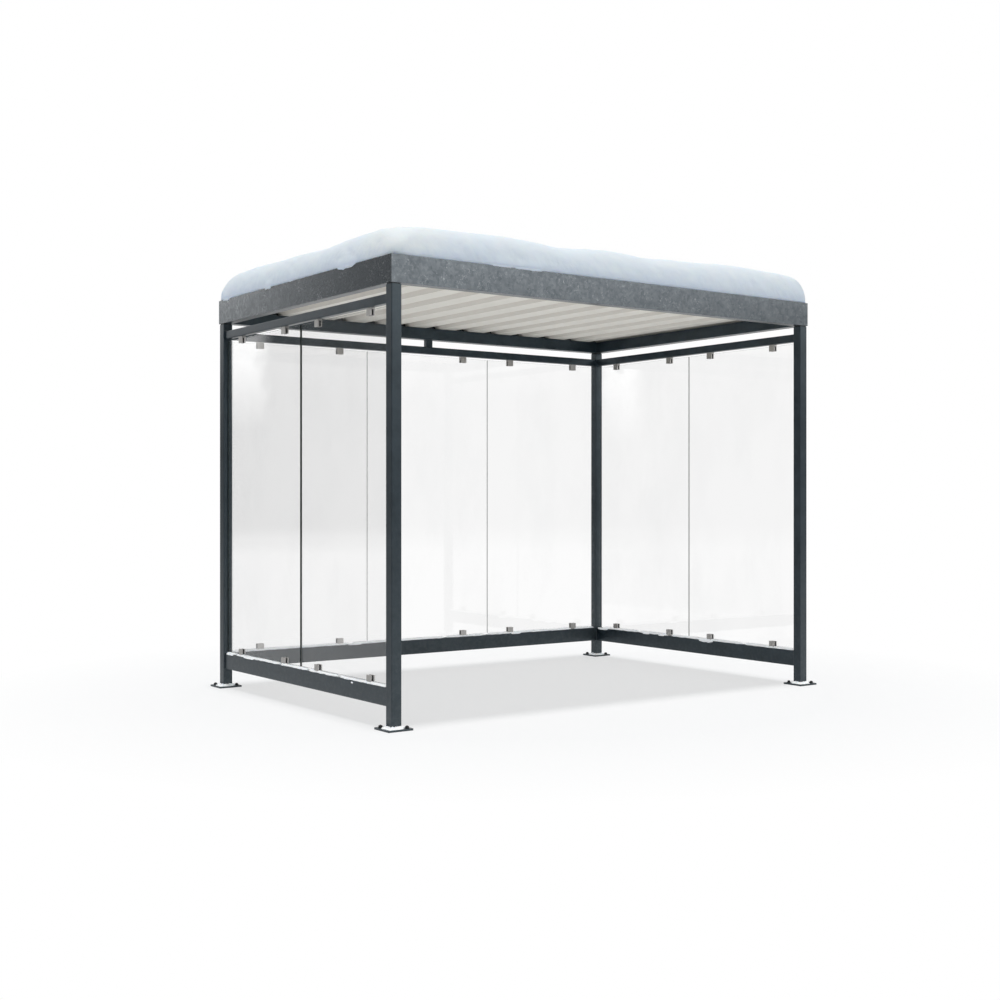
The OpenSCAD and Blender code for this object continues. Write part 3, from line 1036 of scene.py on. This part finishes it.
def railSpill(middle, half, depth, centre, outward, rail, alongX, seed):
    # snow hanging over one edge of the rail
    s = railSnow

    def shape(u, v):
        side = 2 * u - 1
        ragged = 1 + 0.3 * noise.noise(Vector((side * 3, seed, 2.0)))
        full = max(0.0, 1 - abs(side) ** 3) ** 0.5 * ragged
        turn = math.pi / 2 * min(1.0, v / 0.5)
        across = rail["half"] - rail["round"] * (1 - math.sin(turn)) + s["lift"]
        z = rail["top"] - rail["round"] * (1 - math.cos(turn))
        if v > 0.5:
            z -= depth * full * (v - 0.5) / 0.5
        along = middle + half * side
        under = railPoint(along, outward * across, z, centre, alongX)
        thick = s["spillThick"] * full * (1 - abs(2 * v - 1) ** 3)
        across += thick * math.sin(turn)
        top = railPoint(along, outward * across, z + thick * math.cos(turn), centre, alongX)
        return top, under

    points, faces = sheetShell(*s["spillSteps"], shape)
    flip = (outward > 0) != alongX
    return points, [f[::-1] for f in faces] if flip else faces


chance = random.Random(railSnow["seed"])
for wall, inward in wallInside.items():
    low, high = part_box("bottom_rail_" + wall)
    alongX = wall == "back"
    axis, cross = (0, 1) if alongX else (1, 0)
    centre = (low[cross] + high[cross]) / 2
    half = (high[cross] - low[cross]) / 2
    rail = {"top": high.z, "half": half, "round": railSnow["railRound"]}
    lowClamps = [box for box in blockBoxes(nodes["clamp_bodies_" + wall]) if box[0].z < 1]
    clampPlaces = [(box[0][axis] + box[1][axis]) / 2 for box in lowClamps]
    parts = []
    start, last = low[axis] + railSnow["endGap"], high[axis] - railSnow["endGap"]
    while start < high[axis] - 0.06:
        end = min(start + chance.uniform(*railSnow["length"]), last)
        seed = chance.uniform(0, 90)
        parts.append(railHeap(start, end, centre, rail, alongX, seed, clampPlaces))
        start = end + chance.uniform(*railSnow["gap"])
    for name, inside, middle, half, depth in railSnow["spills"]:
        if name == wall:
            outward = inward[cross] if inside else -inward[cross]
            seed = middle * 40
            parts.append(railSpill(middle, half, depth, centre, outward, rail, alongX, seed))
    points, faces = gather(parts)
    addPiece("rail_snow_" + wall, points, faces, driftSnow)

# one clot of snow stuck to the outside of the left rail
clot = railSnow["clot"]
angles = [math.radians(angle) for angle in range(20, 161, 20)]
points, faces = turned([(roundRadius(math.sin(a)), -math.cos(a)) for a in angles], 14)
points = [[c + w * p for c, w, p in zip(clot["place"], clot["size"], point)] for point in points]
addPiece("rail_snow_clot", points, faces, driftSnow)
print("snow on the rails")

footSnow = {
    "height": 0.012,
    "rim": 0.006,
    "corner": 0.092,
    "anchors": 0.036,
    "lift": 0.0001,
    "rings": 12,
    "around": 120,
}


def footHeap(centre, halfPost, halfPlate, restZ, seed):
    # ring of snow round the post's foot, bare towards the two anchors
    s = footSnow

    def shape(u, v):
        angle = 2 * math.pi * u
        c, d = math.cos(angle), math.sin(angle)
        post = (halfPost - 0.0005) / max(abs(c), abs(d))
        anchorSide = max(0.0, -math.sin(2 * angle)) ** 3
        ragged = 0.005 * noise.noise(Vector((c * 2.6 + seed, d * 2.6, 0.4)))
        ragged += 0.0035 * noise.noise(Vector((c * 9 + seed, d * 9, 2.4)))
        outer = min((halfPlate - s["rim"]) / max(abs(c), abs(d)), s["corner"])
        outer = max(post + 0.003, outer - s["anchors"] * anchorSide + ragged)
        r = post + (outer - post) * v
        body = 0.8 + 0.5 * noise.noise(Vector((c * 3 + seed, d * 3, v)))
        top = restZ + 0.0003 + s["height"] * body * (1 - 0.45 * v) * (1 - v ** 6)
        return centre[0] + r * c, centre[1] + r * d, top, restZ + s["lift"]

    points, faces = [], []
    around, rings = s["around"], s["rings"]
    for k in range(around):
        for j in range(rings + 1):
            x, y, top, base = shape(k / around, j / rings)
            points.append((x, y, top if j < rings else base))
            points.append((x, y, base))
    width = 2 * (rings + 1)
    for k in range(around):
        a, b = k * width, (k + 1) % around * width
        for j in range(0, 2 * rings, 2):
            faces.append([a + j, a + j + 2, b + j + 2, b + j])
            far = j + 2 if j == 2 * rings - 2 else j + 3  # top and base meet at the outer edge
            faces.append([b + j + 1, b + far, a + far, a + j + 1])
        faces.append([a, b, b + 1, a + 1])
    return dropLoose(points, faces)


def dropLoose(points, faces):
    # leaves out points that no face uses
    used = sorted({i for face in faces for i in face})
    place = {old: new for new, old in enumerate(used)}
    return [points[i] for i in used], [[place[i] for i in face] for face in faces]


for order, corner in enumerate(("front_left", "front_right", "back_left", "back_right")):
    low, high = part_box("foot_plate_" + corner)
    postLow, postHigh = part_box("post_" + corner)
    centre = ((low.x + high.x) / 2, (low.y + high.y) / 2)
    halfPost, halfPlate = (postHigh.x - postLow.x) / 2, (high.x - low.x) / 2
    points, faces = footHeap(centre, halfPost, halfPlate, high.z, 5.3 * order)
    addPiece("foot_snow_" + corner, points, faces, driftSnow)
print("snow on the foot plates")


stageLook = {
    "floorColour": (0.9, 0.9, 0.9),
    "floorHalf": 60.0,
    "floorDrop": 0.0005,
    "ownWhite": 0.61,
    "fadeFrom": 2.0,
    "fadeTo": 3.5,
    "ambient": (0.375, 0.395, 0.415),
}


def seenShare(tree):
    # 1 for rays that see the backdrop: the camera's, and those a mirror or a pane passes on
    path = tree.nodes.new("ShaderNodeLightPath")
    share = addMath(tree, "MAXIMUM", path.outputs["Is Camera Ray"], path.outputs["Is Glossy Ray"])
    return addMath(tree, "MAXIMUM", share, path.outputs["Is Transmission Ray"])


def paleFloor():
    s = stageLook
    material, tree, surface = bareMaterial("paleFloor")
    matt = tree.nodes.new("ShaderNodeBsdfDiffuse")
    matt.inputs["Color"].default_value = (*s["floorColour"], 1)
    white = tree.nodes.new("ShaderNodeEmission")
    white.inputs["Strength"].default_value = 1.0
    distance = tree.nodes.new("ShaderNodeVectorMath")
    distance.operation = "LENGTH"
    tree.links.new(surfacePlace(tree), distance.inputs[0])
    away = addRange(tree, distance.outputs["Value"], s["fadeFrom"], s["fadeTo"], s["ownWhite"], 1.0)
    share = addMath(tree, "MULTIPLY", away, seenShare(tree))
    tree.links.new(layOver(tree, share, matt, white).outputs[0], surface)
    return material


def layFloor():
    half = stageLook["floorHalf"]
    corners = [(-half, -half, 0), (half, -half, 0), (half, half, 0), (-half, half, 0)]
    mesh = bpy.data.meshes.new("floor")
    mesh.from_pydata(corners, [], [[0, 1, 2, 3]])
    mesh.materials.append(paleFloor())
    floor = bpy.data.objects.new("floor", mesh)
    floor.location.z = -stageLook["floorDrop"]
    bpy.context.scene.collection.objects.link(floor)


def lightWorld():
    world = bpy.data.worlds.new("paleRoom")
    bpy.context.scene.world = world
    world.use_nodes = True
    tree = world.node_tree
    ambient = tree.nodes["Background"]
    ambient.inputs["Color"].default_value = (*stageLook["ambient"], 1)
    ambient.inputs["Strength"].default_value = 1.0
    white = tree.nodes.new("ShaderNodeBackground")
    white.inputs["Color"].default_value = (1, 1, 1, 1)
    both = layOver(tree, seenShare(tree), ambient, white)
    tree.links.new(both.outputs[0], tree.nodes["World Output"].inputs["Surface"])


lampLook = {
    "top": {"angle": 6, "strength": 1.82, "tilt": (1.5, 0, 0)},
    "softboxes": [  # (name, centre, width, height, brightness)
        ("frontBox", (7.1, -10.6, 6.3), 9.3, 4.6, 2.4),
        ("backBox", (-4.0, 13.0, 6.2), 7.0, 4.6, 1.4),
    ],
    "aim": (0, 0, 1.6),
}


def hangLamps():
    top = bpy.data.lights.new("topLight", "SUN")
    top.energy = lampLook["top"]["strength"]
    top.angle = math.radians(lampLook["top"]["angle"])
    topLamp = bpy.data.objects.new("topLight", top)
    topLamp.rotation_euler = [math.radians(a) for a in lampLook["top"]["tilt"]]
    bpy.context.scene.collection.objects.link(topLamp)
    for name, centre, width, height, brightness in lampLook["softboxes"]:
        box = bpy.data.lights.new(name, "AREA")
        box.shape = "RECTANGLE"
        box.size, box.size_y = width, height
        box.energy = brightness * math.pi * width * height
        lamp = bpy.data.objects.new(name, box)
        lamp.location = centre
        aim = Vector(lampLook["aim"]) - Vector(centre)
        lamp.rotation_euler = aim.to_track_quat("-Z", "Y").to_euler()
        lamp.visible_camera = False
        lamp.visible_diffuse = False  # seen only in reflections
        lamp.visible_transmission = False
        bpy.context.scene.collection.objects.link(lamp)


cardLook = {  # angles from +X; each fades in from foot to full and out from full to top
    "step": 3,
    "rings": [  # (name, radius, from angle, to angle, (foot, full), (full, top), shade)
        ("lowCard", 22, 0, 360, (0.0, 0.6), (3.6, 4.7), 0.17),
        ("tallCard", 22.5, 119.5, 175, (3.4, 3.7), (13.0, 16.0), 0.10),
        ("stepCard", 22.6, 116, 119.5, (3.4, 3.7), (4.7, 5.0), 0.10),
    ],
    "ground": {
        "low": (-30, -25),
        "high": (-1.7, 30),
        "z": 0.003,
        "soft": 0.7,
        "shade": 0.66,
    },
    "gap": {
        "place": (-5.2, 8.6),
        "width": 0.8,
        "foot": (2.05, 2.95),
        "top": (3.2, 3.5),
        "shade": 1.45,
    },
}


def standCard(name, points, faces, shade, shareOf):
    # a card far off, which only shows in reflections and so draws the panes and posts
    material, tree, surface = bareMaterial(name)
    clear = tree.nodes.new("ShaderNodeBsdfTransparent")
    grey = tree.nodes.new("ShaderNodeEmission")
    grey.inputs["Color"].default_value = (1, 1, 1, 1)
    grey.inputs["Strength"].default_value = shade
    share = shareOf(tree, splitAxes(tree, surfacePlace(tree)))
    tree.links.new(layOver(tree, share, clear, grey).outputs[0], surface)
    mesh = bpy.data.meshes.new(name)
    mesh.from_pydata(points, [], faces)
    mesh.materials.append(material)
    card = bpy.data.objects.new(name, mesh)
    card.visible_camera = False
    card.visible_diffuse = False
    card.visible_transmission = False
    card.visible_shadow = False
    bpy.context.scene.collection.objects.link(card)
    return card


def heightBand(tree, axes, foot, top):
    rise = addRange(tree, axes["Z"], *foot, 0, 1)
    fall = addRange(tree, axes["Z"], *top, 1, 0)
    return addMath(tree, "MULTIPLY", rise, fall)


def ringCard(name, radius, start, end, foot, top, shade):
    count = round((end - start) / cardLook["step"])
    points, faces = [], []
    for k in range(count + 1):
        angle = math.radians(start + (end - start) * k / count)
        for z in (foot[0], top[1]):
            points.append((radius * math.cos(angle), radius * math.sin(angle), z))
    for k in range(0, 2 * count, 2):
        faces.append([k, k + 2, k + 3, k + 1])
    standCard(name, points, faces, shade, lambda tree, axes: heightBand(tree, axes, foot, top))


def groundCard():
    s = cardLook["ground"]
    (lowX, lowY), (highX, highY) = s["low"], s["high"]
    corners = ((lowX, lowY), (highX, lowY), (highX, highY), (lowX, highY))
    points = [(x, y, s["z"]) for x, y in corners]

    def share(tree, axes):
        return addRange(tree, axes["X"], highX - s["soft"], highX, 1, 0)

    standCard("groundCard", points, [[0, 1, 2, 3]], s["shade"], share)


def gapCard():
    # bright gap between the cards, ragged at its sides
    s = cardLook["gap"]
    half, foot, top = s["width"] / 2, s["foot"][0], s["top"][1]
    points = [(-half, 0, foot), (half, 0, foot), (half, 0, top), (-half, 0, top)]

    def share(tree, axes):
        ragged = addMath(tree, "MULTIPLY", addNoise(tree, surfacePlace(tree), 3.0, 4, 0.6), half)
        side = addMath(tree, "ADD", addMath(tree, "ABSOLUTE", axes["X"], 0), ragged)
        wide = addRange(tree, side, half * 0.95, half * 1.35, 1, 0)
        return addMath(tree, "MULTIPLY", wide, heightBand(tree, axes, s["foot"], s["top"]))

    card = standCard("gapCard", points, [[0, 1, 2, 3]], s["shade"], share)
    card.location = (*s["place"], 0)
    card.rotation_euler.z = math.atan2(s["place"][1], s["place"][0]) + math.pi / 2


cameraLook = {
    "place": (-5.2667, -7.2008, 1.190),
    "turn": -35.573,
    "lens": 50,
    "film": 36,
}


def setCamera():
    data = bpy.data.cameras.new("viewer")
    data.lens = cameraLook["lens"]
    data.sensor_width = cameraLook["film"]
    camera = bpy.data.objects.new("viewer", data)
    camera.location = cameraLook["place"]
    camera.rotation_euler = (math.radians(90), 0, math.radians(cameraLook["turn"]))
    bpy.context.scene.collection.objects.link(camera)
    bpy.context.scene.camera = camera


layFloor()
lightWorld()
hangLamps()
for ring in cardLook["rings"]:
    ringCard(*ring)
groundCard()
gapCard()
setCamera()
bpy.context.scene.view_settings.view_transform = "Standard"
print("stage, lamps and camera set")
